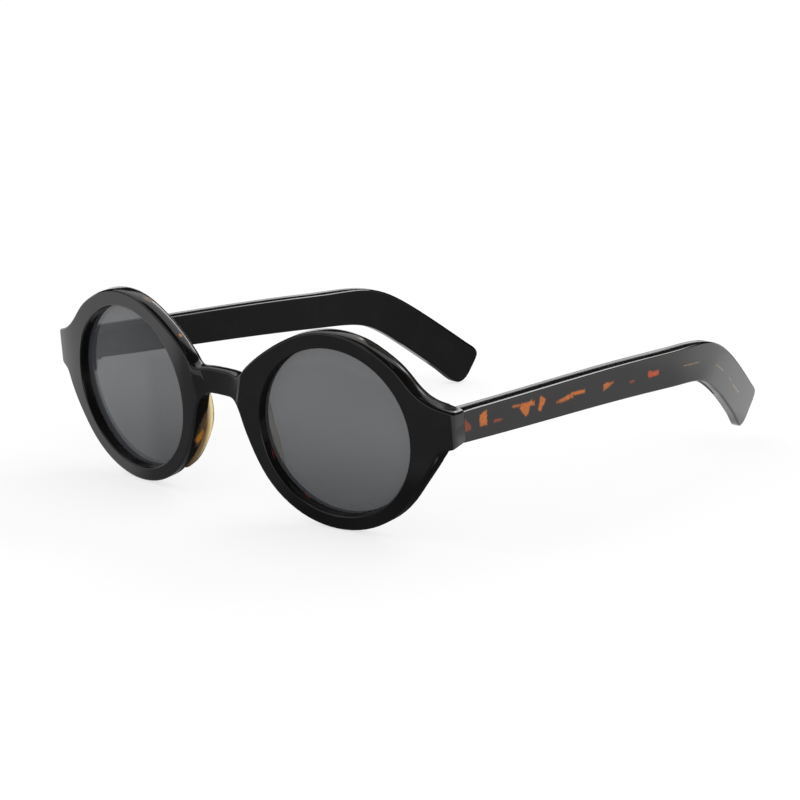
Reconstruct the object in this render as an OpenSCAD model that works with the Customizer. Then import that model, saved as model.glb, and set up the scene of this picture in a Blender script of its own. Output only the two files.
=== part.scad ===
// Round acetate sunglasses: a laminated front, two lenses, two glued nose pads and two folding temples.
// +X is the wearer's left, the front faces -Y, and +Z is up. The rims and the temple tips stand on Z = 0.

/* [Front] */
// Radius of each lens opening at the front face
opening_r = 20.8; // [20:0.1:21.5]
// Distance between the two lens centres
lens_spacing = 66.7; // [64:0.1:70]
// Radius of each rim's outer wall
rim_r = 24.55; // [24:0.05:26]
// Height of the outer wall's centre above the lens centre
rim_rise = 0.2; // [0:0.05:0.4]
// Thickness of the front at the rims
front_t = 5; // [4.6:0.1:6]
// Thickness of the black layer of the front
face_layer_t = 1.6; // [1.2:0.1:2]
// Angle by which each rim is wrapped back around the face
wrap_angle = 8.6; // [6:0.1:10]
// Forward lean of the front above the temples
panto_angle = 8.3; // [4:0.1:10]
// Half width of the front, to the outer faces of the temples
end_x = 64.05; // [62:0.05:66]
// How far the end pieces sweep back from the plane of the rims
end_sweep = 2.1; // [1:0.1:3.5]
// Rounding of the front's front edges
face_round = 0.55; // [0.3:0.05:0.8]
// Rounding of the front's back edges
back_round = 1.6; // [0.8:0.1:1.8]

/* [Bridge] */
// Height of the bridge's top above the lens centres
bridge_top = 10.9; // [10:0.1:12]
// Height of the nose arch above the lens centres
arch_top = 4.5; // [3.5:0.1:5.5]
// How far the middle of the bridge stands in front of the lens centres
bridge_face = 2.6; // [2:0.1:4]
// How far the back of the bridge lies behind the lens centres
bridge_back = 0.9; // [0.5:0.1:2]

/* [Lenses] */
// Thickness of each lens
lens_t = 1.9; // [1.6:0.1:2.2]
// Radius of each lens's curved front surface
lens_curve_r = 130; // [100:5:200]
// Depth of the lens's front rim behind the front face
lens_depth = 2.5; // [2.2:0.1:2.8]

/* [Temples] */
// Thickness of each temple
temple_t = 5.2; // [4.6:0.1:6]
// Thickness of the tortoise outer layer of a temple
outer_layer_t = 2.4; // [2:0.1:2.6]
// Inward angle of each temple
splay_angle = 2.24; // [1:0.01:4]
// How far the left temple is pitched up, as on a pair that has been worn
left_pitch = 0.86; // [-1:0.01:1]
// How far the right temple is pitched up
right_pitch = -0.73; // [-1:0.01:1]
// Edge rounding of each temple
temple_round = 0.75; // [0.4:0.05:1]
// How far the tip curls in towards the head
tip_curl = 8.4; // [4:0.1:10]
// Thickness of the metal core
core_t = 1.3; // [1:0.1:1.5]

/* [Hinges] */
// Radius of the hinge barrels
barrel_r = 1.55; // [1.4:0.05:1.7]
// Length of all the barrels of one hinge
hinge_h = 6.2; // [5.5:0.1:6.5]
// Radius of the hinge screw's shank
screw_r = 0.7; // [0.6:0.05:0.8]
// Gap between moving faces
running_gap = 0.08; // [0.05:0.01:0.1]

/* [Hidden] */

half_spacing = lens_spacing / 2;
// Height of the lens centres, which puts the rims' lowest edge on Z = 0
centre_h = (rim_r - rim_rise) * cos(panto_angle) - face_round * sin(panto_angle);
// Shift of the whole part in Y, which centres its box on the origin
centre_y = -75.427;
// Plane of the joint between the front and the temples, in the frame of the front
seam_y = 11.3;
// Centre of the hinge barrels in the frame of the front
hinge_x = 57;
hinge_y = 13;
hinge_z = 3.6;
// Where the end pieces start to sweep back
sweep_x = half_spacing + 20.3;
// Width over which the bridge joins the plane of the rims
bridge_blend = [3, 8.4];
barrels = 5;
barrel_h = hinge_h / barrels;
leaf_t = 0.9;
front_colour = [0.02, 0.02, 0.022];
tortoise_colour = [0.16, 0.06, 0.02];
amber_colour = [0.85, 0.55, 0.15];
smoke_colour = [0.12, 0.12, 0.13, 0.8];
metal_colour = [0.75, 0.72, 0.66];

// Curves

// Point at t on the cubic curve from a to d with the handles b and c
function cubic(a, b, c, d, t) =
    pow(1 - t, 3) * a + 3 * t * pow(1 - t, 2) * b + 3 * t * t * (1 - t) * c + pow(t, 3) * d;

// Points after the first of a cubic curve that leaves a in direction da and reaches d in direction dd
function curve(a, da, la, d, dd, ld, n) =
    [for (i = [1:n]) cubic(a, a + la * da, d - ld * dd, d, i / n)];

// Points after the first of an arc about the centre c
function arc(c, r, from, to, n) =
    [for (i = [1:n]) let (t = from + (to - from) * i / n) c + r * [cos(t), sin(t)]];

// Direction of a clockwise walk along a circle at an angle
function clockwise(t) = [sin(t), -cos(t)];
function turned(t) = [cos(t), sin(t)];

// Rises smoothly from 0 at a to 1 at b
function smooth(a, b, x) =
    let (t = min(1, max(0, (x - a) / (b - a)))) t * t * (3 - 2 * t);

function mix(a, b, t) = a + (b - a) * t;
function reversed(list) = [for (i = [len(list) - 1:-1:0]) list[i]];

// A plate between an upper and a lower outline of equally many points. Each ring is [inset, depth]:
// how far it lies inside the outline and how deep in the plate. place() bends a point to its depth.
module plate(upper, lower, rings, place) {
    n = len(upper);
    outline = concat(upper, reversed(lower));
    count = len(outline);
    normals = [for (i = [0:count - 1])
        let (d = outline[(i + 1) % count] - outline[(i + count - 1) % count])
        [d[1], -d[0]] / max(norm(d), 0.0001)];
    points = [for (ring = rings, i = [0:count - 1])
        place(outline[i] + ring[0] * normals[i] * (len(ring) > 2 ? ring[2](outline[i]) : 1), ring[1])];
    last = (len(rings) - 1) * count;
    front = [for (i = [0:n - 2], k = [0, 1])
        k == 0 ? [i, i + 1, count - 2 - i] : [i, count - 2 - i, count - 1 - i]];
    back = [for (f = front) [f[2] + last, f[1] + last, f[0] + last]];
    sides = [for (r = [0:len(rings) - 2], i = [0:count - 1], k = [0, 1])
        let (a = r * count + i, b = r * count + (i + 1) % count)
        k == 0 ? [a, a + count, b + count] : [a, b + count, b]];
    polyhedron(points, concat(front, sides, back), convexity = 8);
}

// Rings of a rounded edge of radius r from the face inwards, over n steps
function edge_in(r, depth, n) =
    [for (i = [0:n]) let (t = 90 * i / n) [r * (1 - sin(t)), depth + r * (1 - cos(t))]];

// Frames of the parts

module in_front() {
    translate([0, centre_y, centre_h]) rotate([panto_angle, 0, 0]) children();
}

// Frame of the left rim: X outwards, Y up and Z forwards, from the lens centre on the face
module in_rim() {
    in_front() translate([half_spacing, 0, 0]) rotate([0, 0, wrap_angle]) rotate([90, 0, 0]) children();
}

module in_hinge() {
    in_front() translate([hinge_x, hinge_y, hinge_z]) children();
}

// Frame of a temple: X outwards from its outer face, Y along it and Z up. It is pitched up by an angle.
module in_temple(pitch) {
    root_h = centre_h + seam_y * sin(panto_angle) + lug_mid * cos(panto_angle);
    translate([end_x, centre_y + seam_y * cos(panto_angle) - lug_mid * sin(panto_angle), root_h])
        rotate([pitch, 0, splay_angle]) translate([0, 0, -root_h]) children();
}

// Everything in front of the joint, or with flip everything behind it, as a large block
module seam_block(flip, gap) {
    in_front() translate([0, flip ? seam_y + gap : seam_y + gap - 40, -40]) cube([90, 40, 90]);
}

// Outline of the front

function on_rim(angle) =
    [half_spacing + rim_r * cos(angle) * cos(wrap_angle), rim_rise + rim_r * sin(angle)];

function rim_arc(from, to, n) = [for (i = [1:n]) on_rim(from + (to - from) * i / n)];

function rim_way(angle, sense) = let (d = sense * clockwise(angle)) [d[0] * cos(wrap_angle), d[1]];

tip_x = end_x + 0.3;
corner_r = 1;
notch = [6, bridge_top - 0.25];
shoulder = [9.6, bridge_top + 2.4];
brow = [end_x - 10.55, 15.2];
lug_top = [end_x - 2.45, 9.2];
lug_top_end = [tip_x - corner_r, 8.6];
arch_side = [3.4, arch_top - 0.1];
nose_side = [7.2, 0.4];
cheek = [end_x - 4.15, -3.6];
lug_low = [end_x - 2.05, -1.3];
lug_low_end = [tip_x - corner_r, -0.95];
nose_arc = [112, 215];
end_arc = [62, 325];

half_upper = concat(
    [[0, bridge_top]],
    curve([0, bridge_top], [1, 0], 2, notch, turned(-6), 2, 5),
    curve(notch, turned(-3), 1.9, shoulder, turned(45), 2.2, 8),
    curve(shoulder, turned(45), 4.5, on_rim(nose_arc[0]), rim_way(nose_arc[0], 1), 6, 8),
    rim_arc(nose_arc[0], end_arc[0], 20),
    curve(on_rim(end_arc[0]), rim_way(end_arc[0], 1), 5, brow, turned(-50), 4, 7),
    curve(brow, turned(-50), 3.1, lug_top, turned(-20), 4.1, 9),
    curve(lug_top, turned(-20), 0.5, lug_top_end, turned(-17), 0.5, 2),
    curve(lug_top_end, turned(-17), 0.6, [tip_x, 7.5], turned(-90), 0.6, 4)
);

half_lower = concat(
    [[0, arch_top]],
    curve([0, arch_top], [1, 0], 1.2, arch_side, turned(-6), 1, 5),
    curve(arch_side, turned(-8), 2, nose_side, turned(-72), 2.1, 8),
    curve(nose_side, turned(-72), 4.5, on_rim(nose_arc[1]), rim_way(nose_arc[1], -1), 5, 7),
    rim_arc(nose_arc[1], end_arc[1], 23),
    curve(on_rim(end_arc[1]), rim_way(end_arc[1], -1), 3.5, cheek, turned(65), 3, 6),
    curve(cheek, turned(65), 1.4, lug_low, turned(17), 1.2, 8),
    curve(lug_low, turned(17), 0.4, lug_low_end, turned(15), 0.4, 2),
    curve(lug_low_end, turned(15), 0.6, [tip_x, 0.1], turned(90), 0.6, 4)
);

function mirrored(half) =
    concat([for (i = [len(half) - 1:-1:1]) [-half[i][0], half[i][1]]], half);

front_upper = mirrored(half_upper);
front_lower = mirrored(half_lower);

// Depth of the front's face and back at a distance x from the middle
function rim_plane(x) = (x - half_spacing) * tan(wrap_angle);
function sweep(x) = end_sweep * pow(max(0, x - sweep_x) / (end_x - sweep_x), 2);
function face_y(x) =
    mix(-bridge_face, rim_plane(x), smooth(bridge_blend[0], bridge_blend[1], x)) + sweep(x);
function back_y(x) =
    mix(bridge_back, rim_plane(x) + front_t / cos(wrap_angle),
        smooth(bridge_blend[0], bridge_blend[1], x)) + sweep(x);

// The end pieces grow slimmer towards the joint
lug_mid = 3.6;
lug_taper = 0.13;
side_taper = 0.33;
front_place = function (p, depth)
    let (x = abs(p[0]), t = depth / front_t)
    [
        p[0] - sign(p[0]) * side_taper * t * smooth(end_x - 4, end_x, x),
        mix(face_y(x), back_y(x), t),
        mix(p[1], lug_mid, lug_taper * t * smooth(end_x - 6, end_x - 1, x))
    ];

// Share of the back edge's rounding at a point. It is small where a nose pad is glued, large at the
// brow, and it ends at the block behind the end piece.
back_share = function (p) let (x = abs(p[0]))
    (1 - 0.75 * (1 - smooth(12, 17, x)) * (1 - smooth(0, 6, p[1]))
        + 0.45 * smooth(44, 50, x) * smooth(0, 4, p[1]))
    * (1 - smooth(end_x - 7, end_x - 3, x));

// Openings of the front: [radius, depth] of the rounded front edge, the wall, the lens groove and the
// flare at the back
opening_round = 0.45;
lip_r = opening_r - 0.1;
groove_r = opening_r + 0.85;
opening_wall = concat(
    [[opening_r + 1.5, -1], [opening_r + opening_round + 0.05, -0.03]],
    [for (t = [20:17.5:90]) [opening_r + opening_round * (1 - sin(t)), opening_round * (1 - cos(t))]],
    [[opening_r + 0.05, face_layer_t + 0.2], [lip_r, lens_depth], [groove_r, lens_depth + 0.75],
        [lip_r + 0.05, lens_depth + 1.45], [opening_r + 1.05, front_t - 0.05], [opening_r + 1.9, front_t + 1]]
);
module opening_cut() {
    in_rim() rotate_extrude($fn = 120)
        polygon([[0, 1], for (p = opening_wall) [p[0], -p[1]], [0, -front_t - 1]]);
}

module both_sides() {
    children();
    mirror([1, 0, 0]) children();
}

// Front

module front_face_layer() {
    color(front_colour) difference() {
        in_front() plate(front_upper, front_lower,
            concat(edge_in(face_round, 0, 2), [[0, face_layer_t]]), front_place);
        both_sides() opening_cut();
    }
}

// Block behind each end piece: it sweeps back to the face that the temple butts against
lug_tops = [[52, 9.7], [54.2, 9.4], [56.4, 9], [58.2, 8.7], [60, 8.45], [61.6, 8.2], [63, 7.8], [end_x, 7.35]];
lug_lows = [[52, -3], [54.2, -2.1], [56.4, -1.4], [58.2, -1], [60, -0.7], [61.6, -0.45], [63, -0.25], [end_x, 0]];
lug_place = function (p, depth)
    [sign(p[0]) * abs(p[0]), mix(face_y(p[0]) + 3, mix(back_y(p[0]) - 0.4, seam_y + 0.8,
        smooth(53, 57, p[0])), depth), p[1]];
module end_block() {
    in_front() plate(lug_tops, lug_lows, [[0, 0], [0, 1]], lug_place);
}

module front_back_layer() {
    color(tortoise_colour) difference() {
        union() {
            in_front() plate(front_upper, front_lower, concat([[0, face_layer_t]],
                [for (r = reversed(edge_in(back_round, 0, 3))) [r[0], front_t - r[1], back_share]]),
                front_place);
            both_sides() end_block();
        }
        both_sides() opening_cut();
        both_sides() seam_block(true, 0);
        both_sides() front_leaf_plate(0.02);
    }
}

// Lenses

lens_edge_r = lip_r - 0.03;
module lens() {
    centre_z = -(lens_depth + sqrt(pow(lens_curve_r, 2) - pow(lens_edge_r, 2)));
    color(smoke_colour) in_rim() intersection() {
        rotate_extrude($fn = 120) polygon([
            [0, 0], [lens_edge_r, 0], [lens_edge_r, -lens_depth], [groove_r - 0.06, -lens_depth - 0.75],
            [lens_edge_r, -lens_depth - 1.44], [lens_edge_r, -front_t - 1], [0, -front_t - 1]]);
        difference() {
            translate([0, 0, centre_z]) sphere(lens_curve_r, $fn = 200);
            translate([0, 0, centre_z]) sphere(lens_curve_r - lens_t, $fn = 200);
        }
    }
}

// Nose pads

pad_from = 168;
pad_to = 236;
pad_steps = 18;
pad_h = 3.6;
pad_inner = 22.1;
pad_outer = 24.7;
// Section of a pad at a share t of its length: [radius about the lens centre, depth]. The crest starts
// beside the lens and leans out to the nose at the lower end.
function pad_section(t) =
    let (
        crest = mix(22.5, 23.8, smooth(0.45, 0.85, t)),
        ends = pow(max(0, sin(180 * pow(t, 0.8))), 0.55),
        h = pad_h * mix(0.1, 1, ends) * mix(1, 0.5, smooth(0.4, 0.85, t))
    )
    [for (q = [
        [pad_inner, 0], [pad_inner - 0.1, 0.5], [crest - 0.4, 0.9], [crest, 1],
        [crest + 0.6, 0.9], [mix(crest, pad_outer, 0.75), 0.55], [pad_outer, 0.2], [pad_outer - 0.5, 0]
    ]) [mix(23.3, q[0], mix(0.35, 1, ends)), front_t + h * q[1]]];

module nose_pad() {
    sections = [for (i = [0:pad_steps]) let (t = i / pad_steps, a = mix(pad_from, pad_to, t))
        [for (q = pad_section(t)) [q[0] * cos(a), q[0] * sin(a), -q[1]]]];
    m = len(sections[0]);
    points = [for (s = sections) each s];
    end = pad_steps * m;
    faces = concat(
        [[for (k = [0:m - 1]) k]],
        [for (i = [0:pad_steps - 1], k = [0:m - 1])
            [i * m + k, (i + 1) * m + k, (i + 1) * m + (k + 1) % m, i * m + (k + 1) % m]],
        [[for (k = [m - 1:-1:0]) end + k]]);
    color(amber_colour) in_rim() polyhedron(points, faces, convexity = 6);
}

// Temples: outlines in [distance from the joint, height]

temple_start_top = [-3, 33];
temple_start_low = [-3, 25.34];
bend_top = [84, 32.2];
bend_low = [84, 22.9];
tip_top = [142.2, 12.9];
tip_low = [131, 6.7];
tip_end = [145.7, 9];
tip_heel = [143.4, 5.5];
tip_toe = [138.5, 1.8];
tip_slope = -33.8;

temple_upper = concat(
    [temple_start_top],
    curve(temple_start_top, turned(-0.9), 30, bend_top, turned(-1.8), 30, 12),
    curve(bend_top, turned(-1.8), 27, tip_top, turned(tip_slope), 39.8, 26),
    curve(tip_top, turned(tip_slope), 2.2, tip_end, turned(-108), 1.9, 6),
    curve(tip_end, turned(-108), 0.9, tip_heel, turned(-128), 0.9, 3)
);
temple_lower = concat(
    [temple_start_low],
    curve(temple_start_low, turned(-2.1), 30, bend_low, turned(-2.6), 30, 12),
    curve(bend_low, turned(-2.6), 23.4, tip_low, turned(tip_slope), 30.2, 22),
    curve(tip_low, turned(tip_slope), 4, tip_toe, [1, 0], 1.8, 7),
    curve(tip_toe, [1, 0], 2.2, tip_heel, turned(56), 2.2, 6)
);

curl_start = 90;
curl_end = 139;
// How far a point of the outline is bent inwards. The bend runs square to the sloping tip, so that the
// toe comes in further than the top.
function curl(p) =
    let (s = p[0] - 0.45 * smooth(85, 115, p[0]) * (p[1] - core_mid(p[0])))
    tip_curl * pow(max(0, s - curl_start) / (curl_end - curl_start), 1.7);
// The temples grow thinner from the bend to the tip
function thin(s) = mix(1, 0.55, smooth(86, 128, s));
// Share of a temple's edge rounding, which grows towards the tip
temple_share = function (p) mix(1, 1.9, smooth(90, 132, p[0]));
temple_place = function (p, depth) [-curl(p) - depth * thin(p[0]), p[0], p[1]];

core_start = 2.2;
core_end = 138;
core_h = [4.4, 1.1];
// Height of the core's middle and its half height at a distance from the joint
function core_mid(s) =
    s < 90 ? mix(29.2, 27.3, s / 90) : cubic(27.3, 26.7, 20.4, 8.3, (s - 90) / (core_end - 90));
function core_half(s) = mix(core_h[0], core_h[1], smooth(6, 96, s)) / 2;
core_stations = [for (s = [core_start:5:87]) s];
core_all = concat(core_stations, [for (s = [90:4:core_end]) s]);

module core_plate(gap, from, to) {
    plate([for (s = core_all) [s, core_mid(s) + core_half(s) + gap]],
        [for (s = core_all) [s, core_mid(s) - core_half(s) - gap]],
        [[0, from], [0, to]], temple_place);
}

module temple_outer(pitch) {
    color(tortoise_colour) difference() {
        in_temple(pitch) plate(temple_upper, temple_lower,
            concat([for (r = edge_in(temple_round, 0, 3)) [r[0], r[1], temple_share]],
                [[0, outer_layer_t]]), temple_place);
        seam_block(false, running_gap);
    }
}

module temple_inner(pitch) {
    color(front_colour) difference() {
        in_temple(pitch) plate(temple_upper, temple_lower, concat([[0, outer_layer_t]],
            [for (r = reversed(edge_in(temple_round, 0, 3))) [r[0], temple_t - r[1], temple_share]]),
            temple_place);
        seam_block(false, running_gap);
        in_temple(pitch) core_plate(0.03, outer_layer_t - 0.5, outer_layer_t + core_t + 0.15);
        temple_leaf_plate(pitch, 0.02);
    }
}

module temple_core(pitch) {
    color(metal_colour) in_temple(pitch) core_plate(0, outer_layer_t + 0.12, outer_layer_t + 0.12 + core_t);
}

// Hinges

// Plate of the front leaf, sunk in the back of the end piece
module front_leaf_plate(gap) {
    in_front() translate([end_x - 9.6 - gap, seam_y - 0.9 - gap, hinge_z - hinge_h / 2 - gap])
        cube([4.2 + 2 * gap, 0.9 + 2 * gap, hinge_h + 2 * gap]);
}

// Plate of the temple leaf, sunk in the inner face of the temple
module temple_leaf_plate(pitch, gap) {
    in_temple(pitch) translate([-temple_t - 0.02, 0.9 - gap, 26.4 - gap])
        cube([leaf_t + 0.02 + gap, 11 + 2 * gap, 5.4 + 2 * gap]);
}

// Every other barrel of a hinge from the first, each on the neck given as a child
module barrels(first) {
    for (i = [first:2:barrels - 1])
        translate([0, 0, -hinge_h / 2 + i * barrel_h + running_gap / 2])
            difference() {
                union() {
                    cylinder(r = barrel_r, h = barrel_h - running_gap, $fn = 48);
                    children();
                }
                translate([0, 0, -1]) cylinder(r = screw_r + 0.05, h = barrel_h + 2, $fn = 48);
            }
}

module front_hinge() {
    color(metal_colour) union() {
        in_hinge() barrels(0) translate([-1.4, -2.2, 0]) cube([2.6, 2.2, barrel_h - running_gap]);
        front_leaf_plate(0);
    }
}

module temple_hinge(pitch) {
    color(metal_colour) union() {
        in_hinge() barrels(1) translate([0, 0.05, 0]) cube([2.4, 1.5, barrel_h - running_gap]);
        temple_leaf_plate(pitch, 0);
    }
}

module hinge_screw() {
    color(metal_colour) in_hinge() union() {
        translate([0, 0, -hinge_h / 2]) cylinder(r = screw_r, h = hinge_h, $fn = 48);
        difference() {
            translate([0, 0, hinge_h / 2 - 0.02]) cylinder(r = 1.2, h = 0.6, $fn = 48);
            translate([-2, -0.15, hinge_h / 2 + 0.3]) cube([4, 0.3, 1]);
        }
    }
}

module on_right() {
    mirror([1, 0, 0]) children();
}

front_face_layer();
front_back_layer();
lens();  // lens_left
on_right() lens();  // lens_right
nose_pad();  // nose_pad_left
on_right() nose_pad();  // nose_pad_right
front_hinge();  // front_hinge_left
on_right() front_hinge();  // front_hinge_right
hinge_screw();  // hinge_screw_left
on_right() hinge_screw();  // hinge_screw_right
temple_outer(left_pitch);  // temple_outer_left
on_right() temple_outer(right_pitch);  // temple_outer_right
temple_inner(left_pitch);  // temple_inner_left
on_right() temple_inner(right_pitch);  // temple_inner_right
temple_core(left_pitch);  // temple_core_left
on_right() temple_core(right_pitch);  // temple_core_right
temple_hinge(left_pitch);  // temple_hinge_left
on_right() temple_hinge(right_pitch);  // temple_hinge_right
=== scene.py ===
"""Round acetate sunglasses: each piece's finish, the studio and the camera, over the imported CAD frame."""
import logging
import math
from dataclasses import dataclass
from enum import Enum

import bmesh
import bpy
from mathutils import Matrix, Vector


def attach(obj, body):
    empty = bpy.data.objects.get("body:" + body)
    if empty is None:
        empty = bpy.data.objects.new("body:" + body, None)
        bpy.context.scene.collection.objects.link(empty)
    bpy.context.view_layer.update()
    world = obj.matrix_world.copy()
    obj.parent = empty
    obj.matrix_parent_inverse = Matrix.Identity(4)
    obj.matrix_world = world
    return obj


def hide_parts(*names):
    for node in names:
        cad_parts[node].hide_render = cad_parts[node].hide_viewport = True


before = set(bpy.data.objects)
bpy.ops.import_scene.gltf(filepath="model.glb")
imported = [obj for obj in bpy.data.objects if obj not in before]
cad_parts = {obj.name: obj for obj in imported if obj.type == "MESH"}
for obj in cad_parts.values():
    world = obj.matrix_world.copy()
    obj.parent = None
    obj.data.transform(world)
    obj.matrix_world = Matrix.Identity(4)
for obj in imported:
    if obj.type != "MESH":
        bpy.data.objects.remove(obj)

LOG = logging.getLogger("sunglasses")
MM = 0.001
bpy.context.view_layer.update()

Colour = tuple[float, float, float]
Spot = tuple[float, float, float]
Span = tuple[float, float]


class Side(Enum):
    """The two sides of the wearer, as they end the names of nodes."""

    LEFT = "left"
    RIGHT = "right"


class Slot(Enum):
    """The material slots of the record."""

    FACE = "face_acetate"
    TORTOISE = "tortoise_acetate"
    AMBER = "amber_acetate"
    SMOKE = "smoke_lens"
    HINGE = "hinge_metal"
    SCREW = "screw_steel"
    CORE = "core_wire"


class Tint(Enum):
    """Colours of the windows in the tortoise sheet."""

    ORANGE = (0.84, 0.20, 0.003)
    EMBER = (0.72, 0.085, 0.005)
    RED = (0.36, 0.044, 0.003)
    TAN = (0.40, 0.21, 0.08)
    HONEY = (0.56, 0.20, 0.022)
    WINE = (0.16, 0.020, 0.008)
    AMBER = (0.95, 0.36, 0.045)
    BRONZE = (0.17, 0.11, 0.07)


# Nodes of the materials


class Graph:
    """A material's node tree, with short calls that add nodes and link them."""

    def __init__(self, name: str) -> None:
        """Start an empty material with a principled shader."""
        self.material = bpy.data.materials.new(name)
        self.material.use_nodes = True
        self.tree = self.material.node_tree
        self.tree.nodes.clear()
        self.output = self.add("ShaderNodeOutputMaterial")
        self.shader = self.add("ShaderNodeBsdfPrincipled")
        self.link(self.shader.outputs[0], self.output.inputs["Surface"])
        self.place = self.add("ShaderNodeTexCoord").outputs["Object"]

    def add(self, kind: str, **settings: object) -> bpy.types.Node:
        """Add a node and set its plain settings.

        Args:
            kind: The node's type.
            settings: Its attributes and their values.

        Returns:
            The node.
        """
        node = self.tree.nodes.new(kind)
        for name, value in settings.items():
            setattr(node, name, value)
        return node

    def link(self, source: object, target: bpy.types.NodeSocket) -> None:
        """Link a socket to a target, or write a plain value on it.

        Args:
            source: The socket or the value.
            target: The input that gets it.
        """
        if isinstance(source, bpy.types.NodeSocket):
            self.tree.links.new(source, target)
        else:
            target.default_value = source

    def set(self, **values: object) -> None:
        """Write values on the shader's own sockets, or link sockets to them.

        Args:
            values: Socket names in lower case with _ for spaces, and what goes to them.
        """
        names = {s.name.lower().replace(" ", "_"): s for s in self.shader.inputs}
        for name, value in values.items():
            self.link(value, names[name])

    def math(self, operation: str, a: object, b: object = 0.0, c: object = 0.0) -> bpy.types.NodeSocket:
        """Add a maths node.

        Args:
            operation: What the node does.
            a: The first value or socket.
            b: The second.
            c: The third.

        Returns:
            The result.
        """
        node = self.add("ShaderNodeMath", operation=operation)
        for socket, value in zip(node.inputs, (a, b, c)):
            self.link(value, socket)
        return node.outputs[0]

    def vector(self, operation: str, first: object, second: object = None, third: object = None,
               output: str = "Vector") -> bpy.types.NodeSocket:
        """Add a vector maths node.

        Args:
            operation: What the node does.
            first: The first vector or socket.
            second: The second, if the operation has one.
            third: The third, if the operation has one.
            output: The name of the output that is wanted.

        Returns:
            The result.
        """
        node = self.add("ShaderNodeVectorMath", operation=operation)
        for socket, value in zip(node.inputs, (first, second, third)):
            if value is not None:
                self.link(value, socket)
        return node.outputs[output]

    def split(self, source: bpy.types.NodeSocket) -> bpy.types.bpy_prop_collection:
        """Return the X, Y and Z outputs of a vector."""
        node = self.add("ShaderNodeSeparateXYZ")
        self.link(source, node.inputs[0])
        return node.outputs

    def stretch(self, scale: Spot) -> bpy.types.NodeSocket:
        """Return the object coordinates scaled along each axis."""
        node = self.add("ShaderNodeMapping")
        self.link(self.place, node.inputs["Vector"])
        node.inputs["Scale"].default_value = scale
        return node.outputs[0]

    def local(self, place: Spot, turn: Spot, scale: Spot = (1.0, 1.0, 1.0)) -> bpy.types.NodeSocket:
        """Return the object coordinates as a turned and scaled patch sees them.

        Args:
            place: The patch's centre in millimetres.
            turn: Its angles about X, Y and Z in degrees.
            scale: The length of its unit along each axis.

        Returns:
            The patch's own coordinates.
        """
        node = self.add("ShaderNodeMapping", vector_type="TEXTURE")
        self.link(self.place, node.inputs["Vector"])
        node.inputs["Location"].default_value = [value * MM for value in place]
        node.inputs["Rotation"].default_value = [math.radians(angle) for angle in turn]
        node.inputs["Scale"].default_value = scale
        return node.outputs[0]

    def noise(self, scale: float, detail: float = 2.0, rough: float = 0.5, warp: float = 0.0,
              place: bpy.types.NodeSocket | None = None) -> bpy.types.NodeSocket:
        """Add a noise pattern over the object's coordinates.

        Args:
            scale: How fine it is, in waves per metre.
            detail: Its number of finer layers.
            rough: The share of the finer layers.
            warp: How far it is distorted.
            place: Other coordinates for it.

        Returns:
            Its value.
        """
        node = self.add("ShaderNodeTexNoise")
        self.link(place or self.place, node.inputs["Vector"])
        for name, value in (("Scale", scale), ("Detail", detail), ("Roughness", rough), ("Distortion", warp)):
            node.inputs[name].default_value = value
        return node.outputs["Fac"]

    def ramp(self, source: bpy.types.NodeSocket, low: float, high: float, start: float = 0.0,
             end: float = 1.0) -> bpy.types.NodeSocket:
        """Map a value smoothly from one range to another.

        Args:
            source: The value.
            low: Where the first range begins.
            high: Where it ends.
            start: Where the second range begins.
            end: Where it ends.

        Returns:
            The mapped value.
        """
        node = self.add("ShaderNodeMapRange", interpolation_type="SMOOTHSTEP")
        for name, value in (("Value", source), ("From Min", low), ("From Max", high),
                            ("To Min", start), ("To Max", end)):
            self.link(value, node.inputs[name])
        return node.outputs[0]

    def blend(self, share: object, a: object, b: object) -> bpy.types.NodeSocket:
        """Mix two colours.

        Args:
            share: The share of the second, from 0 to 1.
            a: The first colour or socket.
            b: The second.

        Returns:
            The mixed colour.
        """
        node = self.add("ShaderNodeMix", data_type="RGBA")
        for index, value in ((0, share), (6, a), (7, b)):
            if index and not isinstance(value, bpy.types.NodeSocket):
                value = (*value, 1.0)
            self.link(value, node.inputs[index])
        return node.outputs[2]

    def bump(self, height: bpy.types.NodeSocket, depth: float, strength: float = 1.0) -> None:
        """Raise the surface by a height pattern.

        Args:
            height: The pattern.
            depth: Its depth in millimetres.
            strength: The share of it that shows.
        """
        node = self.add("ShaderNodeBump")
        node.inputs["Strength"].default_value = strength
        node.inputs["Distance"].default_value = depth * MM
        self.link(height, node.inputs["Height"])
        self.set(normal=node.outputs[0])


# Finishes


@dataclass(frozen=True)
class Polish:
    """How a tumbled and buffed surface shines."""

    roughness: float = 0.1
    wear: float = 0.05
    specular: float = 0.5
    ripple: float = 0.006

    def apply(self, graph: Graph) -> None:
        """Give a material this polish, with faint buffing haze and ripple.

        Args:
            graph: The material's node tree.
        """
        haze = graph.noise(240, 4, 0.6, 0.4)
        scratch = graph.noise(900, 2, 0.5, 0.0, graph.stretch((1.0, 0.12, 1.0)))
        mixed = graph.math("MULTIPLY_ADD", scratch, 0.4, graph.math("MULTIPLY", haze, 0.6))
        graph.set(roughness=graph.ramp(mixed, 0.3, 0.75, self.roughness, self.roughness + self.wear),
                  specular_ior_level=self.specular)
        graph.bump(graph.noise(130, 2, 0.5), self.ripple)


@dataclass(frozen=True)
class BlackAcetate:
    """Polished black cellulose acetate with a trace of depth."""

    name: str = "black_acetate"
    base: Colour = (0.0035, 0.0035, 0.0037)
    cloud: Colour = (0.009, 0.0088, 0.0085)
    polish: Polish = Polish()

    def material(self) -> bpy.types.Material:
        """Return the material."""
        graph = Graph(self.name)
        depth = graph.ramp(graph.noise(55, 5, 0.6, 1.0), 0.4, 0.75)
        graph.set(base_color=graph.blend(depth, self.base, self.cloud))
        self.polish.apply(graph)
        return graph.material


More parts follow.
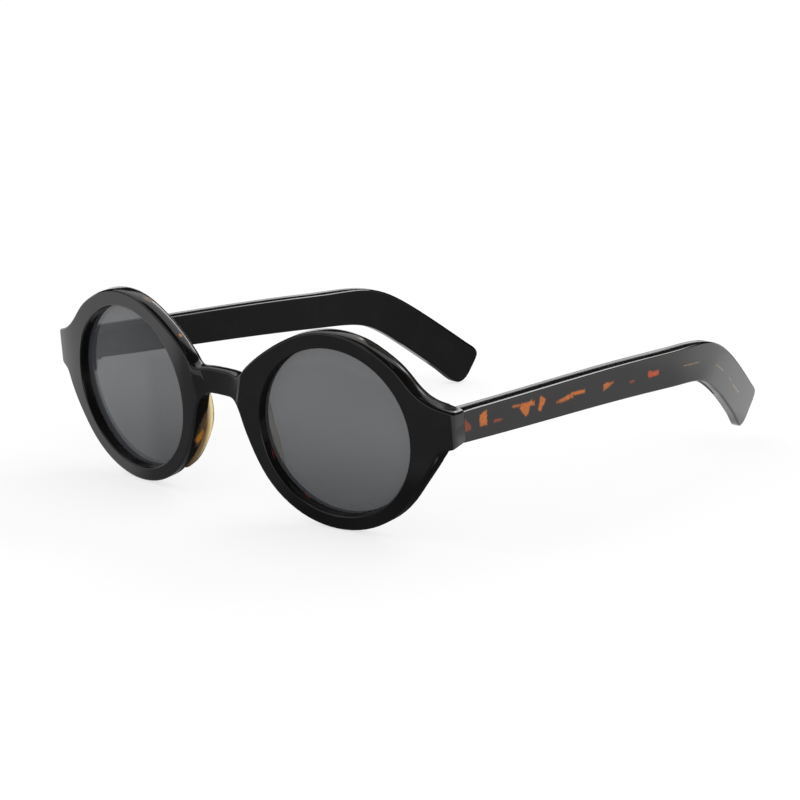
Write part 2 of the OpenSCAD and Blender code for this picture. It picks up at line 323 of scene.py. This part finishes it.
@dataclass(frozen=True)
class Fleck:
    """A window in the tortoise sheet, seen from the side.

    It lies at y and z in millimetres, turned by an angle in degrees, and half its height goes from
    start to end over a half length.
    """

    y: float
    z: float
    turn: float
    half: float
    start: float
    end: float
    tint: Tint


@dataclass(frozen=True)
class Pool:
    """A cloud of colour in the tortoise sheet, at a place and with a radius in millimetres.

    It may be stretched along a direction at an angle above the horizontal.
    """

    x: float
    y: float
    z: float
    radius: float
    tint: Tint
    stretch: float = 1.0
    turn: float = 0.0


@dataclass(frozen=True)
class TortoiseAcetate:
    """Dark tortoise acetate: near-black brown with clear amber windows and pools."""

    name: str
    flecks: tuple[Fleck, ...] = ()
    pools: tuple[Pool, ...] = ()
    base: Colour = (0.006, 0.0048, 0.004)
    cloud: Colour = (0.035, 0.013, 0.005)
    polish: Polish = Polish()

    def material(self) -> bpy.types.Material:
        """Return the material."""
        graph = Graph(self.name)
        brown = graph.ramp(graph.noise(95, 4, 0.55, 1.5), 0.5, 0.8)
        colour = graph.blend(brown, self.base, self.cloud)
        ragged = graph.noise(700, 3, 0.6)
        grain = graph.ramp(graph.noise(1500, 2, 0.6), 0.3, 0.7, 0.72, 1.1)
        for fleck in self.flecks:
            cover = self._window(graph, fleck, ragged)
            colour = graph.blend(cover, colour, self._grained(graph, fleck.tint, grain))
        for pool in self.pools:
            cover = self._pool(graph, pool, ragged)
            colour = graph.blend(cover, colour, self._grained(graph, pool.tint, grain))
        graph.set(base_color=colour)
        self.polish.apply(graph)
        return graph.material

    @staticmethod
    def _grained(graph: Graph, tint: Tint, grain: bpy.types.NodeSocket) -> bpy.types.NodeSocket:
        """Break a tint up with fine grain.

        Args:
            graph: The material's node tree.
            tint: The tint.
            grain: The factor for its brightness.

        Returns:
            The grained colour.
        """
        node = graph.add("ShaderNodeVectorMath", operation="SCALE")
        node.inputs[0].default_value = tint.value
        graph.link(grain, node.inputs["Scale"])
        return node.outputs[0]

    @staticmethod
    def _window(graph: Graph, fleck: Fleck, ragged: bpy.types.NodeSocket) -> bpy.types.NodeSocket:
        """Draw a fleck as a tapered bar with ragged edges.

        Args:
            graph: The material's node tree.
            fleck: The fleck.
            ragged: The pattern that breaks its edge.

        Returns:
            How much of the surface it covers, from 0 to 1.
        """
        split = graph.split(graph.local((0.0, fleck.y, fleck.z), (fleck.turn, 0.0, 0.0)))
        slope = (fleck.end - fleck.start) / (2 * fleck.half)
        middle = (fleck.start + fleck.end) / 2 * MM
        height = graph.math("MULTIPLY_ADD", split["Y"], slope, middle)
        above = graph.math("SUBTRACT", graph.math("ABSOLUTE", split["Z"]), height)
        beyond = graph.math("SUBTRACT", graph.math("ABSOLUTE", split["Y"]), fleck.half * MM)
        outside = graph.math("MAXIMUM", above, beyond)
        soft = min(0.34, 0.6 * max(fleck.start, fleck.end)) * MM
        wavy = graph.math("MULTIPLY_ADD", graph.math("SUBTRACT", ragged, 0.5), 3.4 * soft, outside)
        return graph.ramp(wavy, soft, -soft)

    @staticmethod
    def _pool(graph: Graph, pool: Pool, ragged: bpy.types.NodeSocket) -> bpy.types.NodeSocket:
        """Draw a pool as a long ball with ragged edges.

        Args:
            graph: The material's node tree.
            pool: The pool.
            ragged: The pattern that breaks its edge.

        Returns:
            How much of the surface it covers, from 0 to 1.
        """
        size = (pool.radius * pool.stretch * MM, pool.radius * MM, pool.radius * MM)
        ball = graph.local((pool.x, pool.y, pool.z), (0.0, -pool.turn, 0.0), size)
        away = graph.vector("LENGTH", ball, output="Value")
        return graph.ramp(graph.math("ADD", ragged, away), 1.5, 0.85)


@dataclass(frozen=True)
class AmberAcetate:
    """Clear amber acetate of the nose pads, lit through.

    It darkens towards the glued face, which lies across glue_way between two depths in millimetres: painted
    shade where the pad sits against the dark front. The pad beside the lens centre at clear_from is
    colourless up to the two distances of clear_reach from it.
    """

    name: str = "amber_acetate"
    pale: Colour = (1.0, 0.84, 0.46)
    deep: Colour = (1.0, 0.70, 0.27)
    # The colour of the painted shade towards the glued face.
    glued: Colour = (0.03, 0.015, 0.006)
    clear: Colour = (1.0, 0.94, 0.78)
    glue_way: Spot = (-0.148, -0.978, 0.143)
    glue_depth: Span = (-70.3, -68.7)
    clear_from: Span = (31.0, 24.4)
    clear_reach: Span = (21.8, 23.8)
    polish: Polish = Polish(0.05, 0.04, 0.5, 0.004)

    def material(self) -> bpy.types.Material:
        """Return the material."""
        graph = Graph(self.name)
        cloud = graph.ramp(graph.noise(110, 3, 0.5, 0.8), 0.35, 0.7)
        mirrored = graph.vector("ABSOLUTE", graph.place)
        lift = graph.vector("DOT_PRODUCT", mirrored, self.glue_way, output="Value")
        # Painted shade: the pad darkens towards its glued face, where it sits against the dark front.
        glue_shade = graph.ramp(lift, self.glue_depth[0] * MM, self.glue_depth[1] * MM)
        colour = graph.blend(glue_shade, self.glued, graph.blend(cloud, self.pale, self.deep))
        centre = (-self.clear_from[0] * MM, 0.0, -self.clear_from[1] * MM)
        across = graph.vector("MULTIPLY_ADD", graph.place, (1.0, 0.0, 1.0), centre)
        away = graph.vector("LENGTH", across, output="Value")
        nose = graph.ramp(away, self.clear_reach[0] * MM, self.clear_reach[1] * MM)
        graph.set(base_color=graph.blend(nose, self.clear, colour), transmission_weight=0.9, ior=1.48)
        self.polish.apply(graph)
        return graph.material


@dataclass(frozen=True)
class SmokeLens:
    """Neutral smoke-grey lens, whose grey partly stands in for painted reflection.

    It is a little denser at its lower edge, which lies at the first height of fade: painted shade of the
    shadowed table seen through it.
    """

    name: str = "smoke_lens"
    # The grey body partly stands in for painted reflection.
    body: Colour = (0.092, 0.098, 0.108)
    top: float = 0.67
    shaded_bottom: float = 0.795
    fade: Span = (-4.0, 30.0)

    def material(self) -> bpy.types.Material:
        """Return the material."""
        graph = Graph(self.name)
        tone = graph.ramp(graph.noise(30, 2, 0.5), 0.3, 0.7)
        height = graph.split(graph.place)["Z"]
        # Painted shade: the lens is made denser towards its lower edge, where the shadowed table shows
        # through it.
        cover = graph.ramp(height, self.fade[0] * MM, self.fade[1] * MM, self.shaded_bottom, self.top)
        graph.set(base_color=graph.blend(tone, self.body, tuple(1.15 * c for c in self.body)),
                  alpha=cover, roughness=0.02, ior=1.5, specular_ior_level=0.2)
        graph.bump(graph.noise(40, 1, 0.5), 0.001)
        return graph.material


@dataclass(frozen=True)
class Metal:
    """Turned or stamped metal with fine brushing."""

    name: str
    base: Colour
    dark: Colour
    roughness: float = 0.25
    brush: Spot = (1.0, 1.0, 0.06)

    def material(self) -> bpy.types.Material:
        """Return the material."""
        graph = Graph(self.name)
        lines = graph.noise(4200, 3, 0.6, 0.0, graph.stretch(self.brush))
        stain = graph.ramp(graph.noise(420, 3, 0.6), 0.45, 0.8)
        graph.set(base_color=graph.blend(stain, self.base, self.dark), metallic=1.0,
                  roughness=graph.ramp(lines, 0.25, 0.8, self.roughness - 0.06, self.roughness + 0.12))
        graph.bump(lines, 0.004, 0.5)
        return graph.material


# Pieces

# Points closer than this are one point, and anything shorter than a hair is nothing.
MERGE_GAP = 0.002 * MM
HAIR = 0.001 * MM

# Facets of one curved face fold by less than this, in degrees.
FACET_FOLD = 9.0

# The angle in radians that an open edge counts as, so that it is a sharp one.
OPEN_EDGE = 4.0

# A triangle with more area than this is a large one.
LARGE_TRIANGLE = MM ** 2

# A broad face has this much area to each length of its rim, and this share of it looks the right way.
BROAD_WIDTH = 1.1 * MM
BROAD_SHARE = 0.75

# The width of the strips that a broad face is cut into.
STRIP = 4 * MM

# How far the normals of a broad face are blurred, in millimetres.
BLUR = 4.0

# The area in square millimetres from which a larger facet steers the shading of a narrow wall less.
STEERING_AREA = 0.3


@dataclass(frozen=True)
class Shading:
    """How the copy of a CAD node shades.

    An edge stays sharp from the angle crease, in degrees. The broad faces, which look in the direction broad,
    shade evenly, and the narrow walls beside them shade slightly swollen, as tumbled acetate does. Large
    triangles of one broad face may fold by up to the angle fold. Without broad the larger faces steer the
    shading.
    """

    crease: float = 30.0
    broad: Spot | None = None
    fold: float = FACET_FOLD


def smooth_copy(node: str, name: str, shading: Shading) -> bpy.types.Object:
    """Copy a CAD node with its facets merged, so that it shades smoothly.

    Args:
        node: The CAD node that the copy is made from.
        name: The name of the new piece.
        shading: How it shades.

    Returns:
        The new piece.
    """
    mesh = bpy.data.meshes.new(name)
    bm = bmesh.new()
    bm.from_mesh(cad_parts[node].data)
    bmesh.ops.remove_doubles(bm, verts=bm.verts, dist=MERGE_GAP)
    bmesh.ops.dissolve_degenerate(bm, dist=HAIR, edges=bm.edges)
    if shading.broad:
        way, along = Vector(shading.broad), Vector((shading.broad[1], shading.broad[0], 0.0))
        layer = mark_broad(bm, way, shading.fold)
        slice_broad(bm, layer, along)
    for face in bm.faces:
        face.smooth = True
    for edge in bm.edges:
        edge.smooth = len(edge.link_faces) == 2 and edge.calc_face_angle(0.0) < math.radians(shading.crease)
    bm.to_mesh(mesh)
    if shading.broad:
        mesh.normals_split_custom_set(tumbled_normals(bm, layer, along))
    bm.free()
    piece = bpy.data.objects.new(name, mesh)
    bpy.context.scene.collection.objects.link(piece)
    if not shading.broad:
        normals = piece.modifiers.new("even_shading", "WEIGHTED_NORMAL")
        normals.keep_sharp = True
    return piece


def goes_on(edge: bmesh.types.BMEdge, fold: float) -> bool:
    """Tell whether a broad face goes on across an edge.

    Args:
        edge: The edge.
        fold: The angle in degrees up to which two large triangles belong together.

    Returns:
        Whether it does.
    """
    angle = math.degrees(edge.calc_face_angle(OPEN_EDGE))
    large = min(face.calc_area() for face in edge.link_faces) > LARGE_TRIANGLE
    return angle < FACET_FOLD or angle < fold and large


def mark_broad(bm: bmesh.types.BMesh, way: Vector, fold: float) -> bmesh.types.BMLayerItem:
    """Number the wide even regions of a mesh from 1 in a face layer.

    Args:
        bm: The mesh.
        way: The direction that the regions look in.
        fold: The angle in degrees up to which large neighbouring triangles belong together.

    Returns:
        The layer.
    """
    layer = bm.faces.layers.int.new("region")
    left, number = set(bm.faces), 0
    while left:
        region, queue, rim = set(), [left.pop()], 0.0
        while queue:
            face = queue.pop()
            region.add(face)
            for edge in face.edges:
                if goes_on(edge, fold):
                    near = left.intersection(edge.link_faces)
                    left.difference_update(near)
                    queue.extend(near)
                else:
                    rim += edge.calc_length()
        area = sum(face.calc_area() for face in region)
        spread = sum((face.normal * face.calc_area() for face in region), Vector())
        if area > BROAD_WIDTH * rim and abs(spread.dot(way)) > BROAD_SHARE * area:
            number += 1
            for face in region:
                face[layer] = number
    return layer


def slice_broad(bm: bmesh.types.BMesh, layer: bmesh.types.BMLayerItem, along: Vector) -> None:
    """Cut the broad faces of a mesh into strips, so that their shading can bend evenly.

    Args:
        bm: The mesh.
        layer: The layer that numbers its broad regions.
        along: The direction across the strips.
    """
    spots = [vert.co.dot(along) / STRIP for vert in bm.verts]
    for spot in range(math.ceil(min(spots)), math.floor(max(spots)) + 1):
        faces = [face for face in bm.faces if face[layer]]
        parts = {part for face in faces for part in (*face.verts, *face.edges)}
        bmesh.ops.bisect_plane(bm, geom=[*parts, *faces], dist=HAIR, plane_co=along * spot * STRIP,
                               plane_no=along)


def even_normals(region: set[bmesh.types.BMFace], along: Vector) -> dict[bmesh.types.BMLoop, Vector]:
    """Even out the normals of a broad region, so that they turn steadily along a direction.

    Args:
        region: The region's faces.
        along: The direction.

    Returns:
        The normal of each corner.
    """
    strips = {}
    for face in region:
        spot = round(face.calc_center_median().dot(along) / MM)
        strips[spot] = strips.get(spot, Vector()) + face.normal * face.calc_area()
    normals = {}
    for face in region:
        for loop in face.loops:
            spot = loop.vert.co.dot(along) / MM
            total = sum((normal * math.exp(-((strip - spot) / BLUR) ** 2)
                         for strip, normal in strips.items()), Vector())
            normals[loop] = total.normalized()
    return normals


def tumbled_normals(bm: bmesh.types.BMesh, layer: bmesh.types.BMLayerItem, along: Vector) -> list[Vector]:
    """Work out the shading of a tumbled piece: its broad faces even, its narrow walls slightly swollen.

    Args:
        bm: A mesh whose sharp edges are marked.
        layer: The layer that numbers its broad regions.
        along: The direction in which these bend.

    Returns:
        A normal for each corner, in the order of the faces' loops.
    """
    even, normals = {}, {}
    for number in range(1, max(face[layer] for face in bm.faces) + 1):
        even.update(even_normals({face for face in bm.faces if face[layer] == number}, along))
    for vert in bm.verts:
        left = set(vert.link_loops)
        while left:
            fan, queue = [], [left.pop()]
            while queue:
                loop = queue.pop()
                fan.append(loop)
                for edge in (loop.edge, loop.link_loop_prev.edge):
                    if edge.smooth:
                        near = [other for other in left if edge in other.face.edges]
                        left.difference_update(near)
                        queue.extend(near)
            total = sum((even[loop] for loop in fan if loop in even), Vector())
            if not total.length:
                for loop in fan:
                    area = loop.face.calc_area() / MM ** 2
                    total += loop.face.normal * loop.calc_angle() / (area + STEERING_AREA)
            normals.update({loop: total.normalized() for loop in fan})
    return [normals[loop] for face in bm.faces for loop in face.loops]


def dress(node: str, name: str, material: bpy.types.Material, body: str,
          shading: Shading = Shading()) -> None:
    """Let a smooth copy of a CAD node stand for it.

    Args:
        node: The CAD node.
        name: The name of the copy.
        material: Its finish.
        body: The body that it rides on.
        shading: How it shades.
    """
    piece = smooth_copy(node, name, shading)
    piece.data.materials.clear()
    piece.data.materials.append(material)
    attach(piece, body)
    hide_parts(node)
    LOG.info("%s rides on %s with %d faces", piece.name, body, len(piece.data.polygons))


@dataclass
class Front:
    """The laminated front: a black face layer over a tortoise back layer."""

    face: BlackAcetate
    back: TortoiseAcetate
    face_shading: Shading = Shading(50.0, (0.0, 1.0, 0.0), 20.0)
    back_shading: Shading = Shading(35.0, (0.0, 1.0, 0.0))

    def build(self) -> None:
        """Make both layers."""
        dress("front_face_layer", "front_face", self.face.material(), "front", self.face_shading)
        dress("front_back_layer", "front_back", self.back.material(), "front",
              self.back_shading)


@dataclass
class LensPair:
    """The two lenses."""

    finish: SmokeLens

    def build(self) -> None:
        """Make a lens on each side."""
        material = self.finish.material()
        for side in Side:
            dress(f"lens_{side.value}", f"tinted_lens_{side.value}", material, "front")


@dataclass
class NosePads:
    """The two glued pads."""

    finish: AmberAcetate
    shading: Shading = Shading(75.0)

    def build(self) -> None:
        """Make a pad on each side."""
        material = self.finish.material()
        for side in Side:
            name = f"nose_pad_{side.value}"
            dress(name, f"amber_{name}", material, "front", self.shading)


@dataclass
class Hinge:
    """One five-barrel hinge with its screw."""

    side: Side
    leaf: Metal
    screw: Metal

    def build(self) -> None:
        """Make the two leaves and the screw."""
        leaf, screw, word = self.leaf.material(), self.screw.material(), self.side.value
        dress(f"front_hinge_{word}", f"front_leaf_{word}", leaf, "front")
        dress(f"temple_hinge_{word}", f"temple_leaf_{word}", leaf, f"temple_{word}")
        dress(f"hinge_screw_{word}", f"screw_{word}", screw, "front")


@dataclass
class Temple:
    """One laminated temple with its metal core."""

    side: Side
    outer: TortoiseAcetate
    inner: BlackAcetate
    core: Metal
    shading: Shading = Shading(35.0, (1.0, 0.0, 0.0))

    def build(self) -> None:
        """Make the two layers and the core."""
        word = self.side.value
        body = f"temple_{word}"
        dress(f"temple_outer_{word}", f"outer_layer_{word}", self.outer.material(), body,
              self.shading)
        dress(f"temple_inner_{word}", f"inner_layer_{word}", self.inner.material(), body,
              self.shading)
        dress(f"temple_core_{word}", f"core_{word}", self.core.material(), body)


# Studio


@dataclass(frozen=True)
class Softbox:
    """A soft rectangular lamp that looks at the part."""

    name: str
    place: Spot
    size: Span
    power: float

    def build(self, target: Vector) -> None:
        """Hang the lamp.

        Args:
            target: The point that it looks at.
        """
        lamp = bpy.data.lights.new(self.name, "AREA")
        lamp.shape, lamp.size, lamp.size_y = "RECTANGLE", *self.size
        lamp.energy = self.power
        holder = bpy.data.objects.new(self.name, lamp)
        bpy.context.scene.collection.objects.link(holder)
        holder.location = self.place
        holder.rotation_euler = (target - Vector(self.place)).to_track_quat("-Z", "Y").to_euler()


class ReflectionOnly:
    """A stage piece that only glossy rays see, as the cards and curtains of a product studio."""

    name: str
    tone: float

    def hang(self, bm: bmesh.types.BMesh, matrix: Matrix) -> Graph:
        """Add the piece to the stage, with an even glow.

        Args:
            bm: Its mesh, which is freed.
            matrix: Its place.

        Returns:
            The node tree of its material.
        """
        mesh = bpy.data.meshes.new(self.name)
        bm.to_mesh(mesh)
        bm.free()
        card = bpy.data.objects.new(self.name, mesh)
        bpy.context.scene.collection.objects.link(card)
        card.matrix_world = matrix
        graph = Graph(self.name)
        graph.set(base_color=(0.0, 0.0, 0.0, 1.0), roughness=1.0, specular_ior_level=0.0,
                  emission_color=(1.0, 1.0, 1.0, 1.0), emission_strength=self.tone)
        mesh.materials.append(graph.material)
        card.visible_camera = card.visible_diffuse = card.visible_transmission = card.visible_shadow = False
        return graph


@dataclass(frozen=True)
class Card(ReflectionOnly):
    """A soft-edged rectangular card that faces its aim, turned by an angle in degrees about that line."""

    name: str
    place: Spot
    size: Span
    aim: Spot
    tone: float = 0.02
    soft: float = 0.4
    turn: float = 0.0

    def build(self) -> None:
        """Stand the card up."""
        bm = bmesh.new()
        bmesh.ops.create_grid(bm, x_segments=1, y_segments=1, size=1.0)
        turn = (Vector(self.aim) - Vector(self.place)).to_track_quat("Z", "Y").to_matrix().to_4x4()
        turn = turn @ Matrix.Rotation(math.radians(self.turn), 4, "Z")
        scale = Matrix.Diagonal((self.size[0] / 2, self.size[1] / 2, 1.0, 1.0))
        graph = self.hang(bm, Matrix.Translation(Vector(self.place)) @ turn @ scale)
        split = graph.split(graph.place)
        edge = graph.math("MULTIPLY", *(graph.ramp(graph.math("ABSOLUTE", split[axis]), 1.0, 1.0 - self.soft)
                                        for axis in "XY"))
        graph.set(alpha=edge)


@dataclass(frozen=True)
class Curtain(ReflectionOnly):
    """A band around the set between two heights of the view, over a range of bearings in degrees."""

    name: str
    low: float
    high: float
    start: float
    end: float
    tone: float = 0.02
    radius: float = 5.0
    soft: float = 0.12
    steps: int = 48

    def build(self) -> None:
        """Sweep the band around the part."""
        bm = bmesh.new()
        foot, head = (self.radius * math.tan(math.radians(angle)) for angle in (self.low, self.high))
        start = math.radians(self.start)
        away = Vector((math.cos(start), math.sin(start), 0.0)) * self.radius
        ends = [bm.verts.new(away + Vector((0.0, 0.0, z))) for z in (foot, head)]
        bmesh.ops.spin(bm, geom=[*ends, bm.edges.new(ends)], cent=(0.0, 0.0, 0.0), axis=(0.0, 0.0, 1.0),
                       angle=math.radians(self.end - self.start), steps=self.steps)
        graph = self.hang(bm, Matrix.Identity(4))
        graph.set(alpha=graph.ramp(graph.split(graph.place)["Z"], head, head - self.soft * (head - foot)))


@dataclass
class Studio:
    """A white table under soft light.

    The world lights the part at the strength fill. The table has the grey table, and glows at the strength
    glow only where a picture or a reflection shows it, so that it looks white and keeps the shadows.
    """

    boxes: tuple[Softbox, ...]
    cards: tuple[Card | Curtain, ...]
    fill: float = 0.88
    table: float = 0.33
    glow: float = 0.7
    table_radius: float = 12.0
    table_drop: float = 0.2
    target: Spot = (0.0, 0.0, 20.0)

    def build(self) -> None:
        """Make the table, the world, the lamps and the cards."""
        self._table()
        self._world()
        for box in self.boxes:
            box.build(Vector(self.target) * MM)
        for card in self.cards:
            card.build()

    def _table(self) -> None:
        """Lay a wide white table under the part."""
        mesh = bpy.data.meshes.new("table")
        bm = bmesh.new()
        bmesh.ops.create_circle(bm, cap_ends=True, segments=64, radius=self.table_radius)
        bm.to_mesh(mesh)
        bm.free()
        table = bpy.data.objects.new("table", mesh)
        bpy.context.scene.collection.objects.link(table)
        table.location.z = -self.table_drop * MM
        graph = Graph("white_table")
        graph.set(base_color=(*[self.table] * 3, 1.0), roughness=0.9, specular_ior_level=0.0,
                  emission_color=(1.0, 1.0, 1.0, 1.0),
                  emission_strength=graph.math("MULTIPLY", self._seen(graph.tree), self.glow))
        mesh.materials.append(graph.material)

    @staticmethod
    def _seen(tree: bpy.types.NodeTree) -> bpy.types.NodeSocket:
        """Tell the rays that show a surface from those that light the part.

        Args:
            tree: The node tree that asks.

        Returns:
            1 for camera, glossy and transmission rays, and 0 for light.
        """
        rays = tree.nodes.new("ShaderNodeLightPath")
        total = rays.outputs["Is Camera Ray"]
        for name in ("Is Glossy Ray", "Is Transmission Ray"):
            node = tree.nodes.new("ShaderNodeMath")
            node.operation = "MAXIMUM"
            tree.links.new(total, node.inputs[0])
            tree.links.new(rays.outputs[name], node.inputs[1])
            total = node.outputs[0]
        return total

    def _world(self) -> None:
        """Make a white background whose light on the part is an even fill."""
        world = bpy.data.worlds.new("studio")
        bpy.context.scene.world = world
        world.use_nodes = True
        tree = world.node_tree
        background = tree.nodes["Background"]
        background.inputs["Color"].default_value = (1.0, 1.0, 1.0, 1.0)
        level = tree.nodes.new("ShaderNodeMapRange")
        tree.links.new(self._seen(tree), level.inputs["Value"])
        level.inputs["To Min"].default_value = self.fill
        level.inputs["To Max"].default_value = 1.0
        tree.links.new(level.outputs[0], background.inputs["Strength"])


@dataclass(frozen=True)
class PhotoCamera:
    """The camera at the photograph's angle, with its place, focal length and sensor in millimetres."""

    place: Spot
    right: Spot
    up: Spot
    focal: float
    shift: Span
    sensor: float = 36.0
    reach: Span = (0.05, 60.0)

    def build(self) -> None:
        """Make the scene's camera."""
        data = bpy.data.cameras.new("camera")
        data.sensor_width, data.lens = self.sensor, self.focal
        data.shift_x, data.shift_y = self.shift
        data.clip_start, data.clip_end = self.reach
        camera = bpy.data.objects.new("camera", data)
        bpy.context.scene.collection.objects.link(camera)
        right, up = Vector(self.right).normalized(), Vector(self.up).normalized()
        turn = Matrix((right, up, right.cross(up))).transposed()
        camera.matrix_world = Matrix.Translation(Vector(self.place) * MM) @ turn.to_4x4()
        bpy.context.scene.camera = camera


# Values of this pair

TEMPLE_FLECKS = (
    Fleck(-63.8, 29.1, -21, 1.55, 1.6, 0.4, Tint.RED),
    Fleck(-57.6, 29.9, 4, 1.42, 1.36, 1.77, Tint.ORANGE),
    Fleck(-51.5, 28.6, 0, 1.84, 0.38, 0.18, Tint.RED),
    Fleck(-41.6, 30.6, -4, 4.56, 0.16, 0.55, Tint.ORANGE),
    Fleck(-40.4, 29.3, -78, 1.43, 2.57, 0.69, Tint.ORANGE),
    Fleck(-34.1, 29.6, -117, 1.61, 1.35, 0.58, Tint.ORANGE),
    Fleck(-24.3, 29.2, 6, 3.43, 0.20, 0.70, Tint.ORANGE),
    Fleck(-18.7, 29.8, -1, 3.00, 0.42, 0.44, Tint.ORANGE),
    Fleck(-5.4, 29.6, 7, 2.19, 0.73, 0.22, Tint.ORANGE),
    Fleck(5.1, 28.7, -1, 1.10, 0.30, 0.27, Tint.RED),
    Fleck(14.7, 29.2, -2, 2.41, 0.79, 0.57, Tint.EMBER),
    Fleck(33.3, 28.7, -3, 4.22, 0.14, 0.12, Tint.TAN),
    Fleck(50.8, 24.6, -26, 3.01, 0.14, 0.15, Tint.TAN),
    Fleck(59.6, 19.6, -33, 1.40, 0.13, 0.13, Tint.TAN),
    Fleck(64.4, 16.3, -32, 3.05, 0.17, 0.18, Tint.TAN),
)

PHOTO_CAMERA = PhotoCamera(
    place=(489.34, -605.079, 194.364),
    right=(0.767332, 0.640613, 0.028582),
    up=(-0.165938, 0.155313, 0.973828),
    focal=138.25,
    shift=(0.00088, -0.00056),
)

FRONT_POOLS = (
    Pool(-26.0, -77.0, 47.2, 1.4, Tint.BRONZE, 1.8, 15.0),
    Pool(-13.6, -78.2, 40.6, 0.55, Tint.HONEY, 1.4, -55.0),
    Pool(-9.8, -74.0, 17.6, 2.3, Tint.BRONZE, 3.0, 66.0),
    Pool(-10.9, -73.9, 15.2, 1.8, Tint.AMBER, 1.5, 65.0),
    Pool(14.5, -75.0, 15.4, 0.38, Tint.WINE, 6.0, -62.0),
    Pool(22.2, -71.9, 6.5, 0.5, Tint.WINE, 5.0, -32.0),
    Pool(-53.1, -69.0, 20.0, 0.5, Tint.WINE, 5.5, 80.0),
    Pool(-44.6, -68.6, 6.8, 0.5, Tint.WINE, 4.5, 35.0),
)

HINGE_LEAF = Metal("hinge_metal", (0.030, 0.030, 0.032), (0.018, 0.018, 0.018), 0.3)
HINGE_SCREW = Metal("screw_steel", (0.62, 0.62, 0.63), (0.42, 0.42, 0.43), 0.2)
CORE_WIRE = Metal("core_wire", (0.74, 0.68, 0.56), (0.55, 0.50, 0.40), 0.3)
TEMPLE_BASE = (0.004, 0.0036, 0.0033)
TEMPLE_CLOUD = (0.012, 0.007, 0.004)
TEMPLE_POLISH = Polish(specular=0.45)

STUDIO = Studio(
    boxes=(Softbox("back_box", (-0.16, 1.17, 0.92), (0.9, 0.3), 3.6),),
    cards=(
        Curtain("low_curtain", 9.0, 29.0, -150.0, 210.0, 0.01),
        Curtain("side_curtain", 27.0, 64.0, -75.0, 74.0, 0.01),
        Curtain("high_curtain", 64.0, 88.0, -150.0, 210.0, 0.01),
        Card("brow_card", (0.0467, -0.064, 0.044), (0.036, 0.014), (0.0467, -1.0, 0.044), 0.01, 0.12, -49.4),
        Card("front_card", (0.0014, -0.1267, -0.0001), (0.2, 0.14), (0.0014, -0.1267, 1.0), 0.28, 0.14, 37.8),
        Card("low_card", (0.045, -0.08, -0.000085), (0.08, 0.05), (0.045, -0.08, 1.0), 0.12, 0.4),
        Card("middle_card", (0.0075, -0.023, -0.00009), (0.135, 0.09), (0.0075, -0.023, 1.0), 0.03, 0.12),
        Card("tip_card", (-0.0115, 0.095, -0.00008), (0.095, 0.15), (-0.0115, 0.095, 1.0), 0.2, 0.05),
        Card("between_card", (0.034, 0.14, 0.0145), (0.24, 0.032), (-1.0, 0.14, 0.0145), 0.2, 0.04),
        Card("outer_card", (0.115, 0.075, -0.0001), (0.074, 0.16), (0.115, 0.075, 1.0), 0.75, 0.3),
        Card("glint_card", (0.062, 0.125, -0.000105), (0.034, 0.07), (0.062, 0.125, 1.0), 1.22, 0.3),
    ),
)


def main() -> None:
    """Build the sunglasses, the studio and the camera."""
    logging.basicConfig(level=logging.INFO, format="%(name)s: %(message)s")
    scene = bpy.context.scene
    scene.view_settings.view_transform = "Standard"
    PHOTO_CAMERA.build()
    Front(BlackAcetate("front_black"), TortoiseAcetate("front_tortoise", pools=FRONT_POOLS)).build()
    LensPair(SmokeLens()).build()
    NosePads(AmberAcetate()).build()
    for side in Side:
        outer = TortoiseAcetate(f"temple_tortoise_{side.value}", flecks=TEMPLE_FLECKS, base=TEMPLE_BASE,
                                cloud=TEMPLE_CLOUD, polish=TEMPLE_POLISH)
        Hinge(side, HINGE_LEAF, HINGE_SCREW).build()
        Temple(side, outer, BlackAcetate(f"temple_black_{side.value}"), CORE_WIRE).build()
    STUDIO.build()


if __name__ == "__main__":
    main()
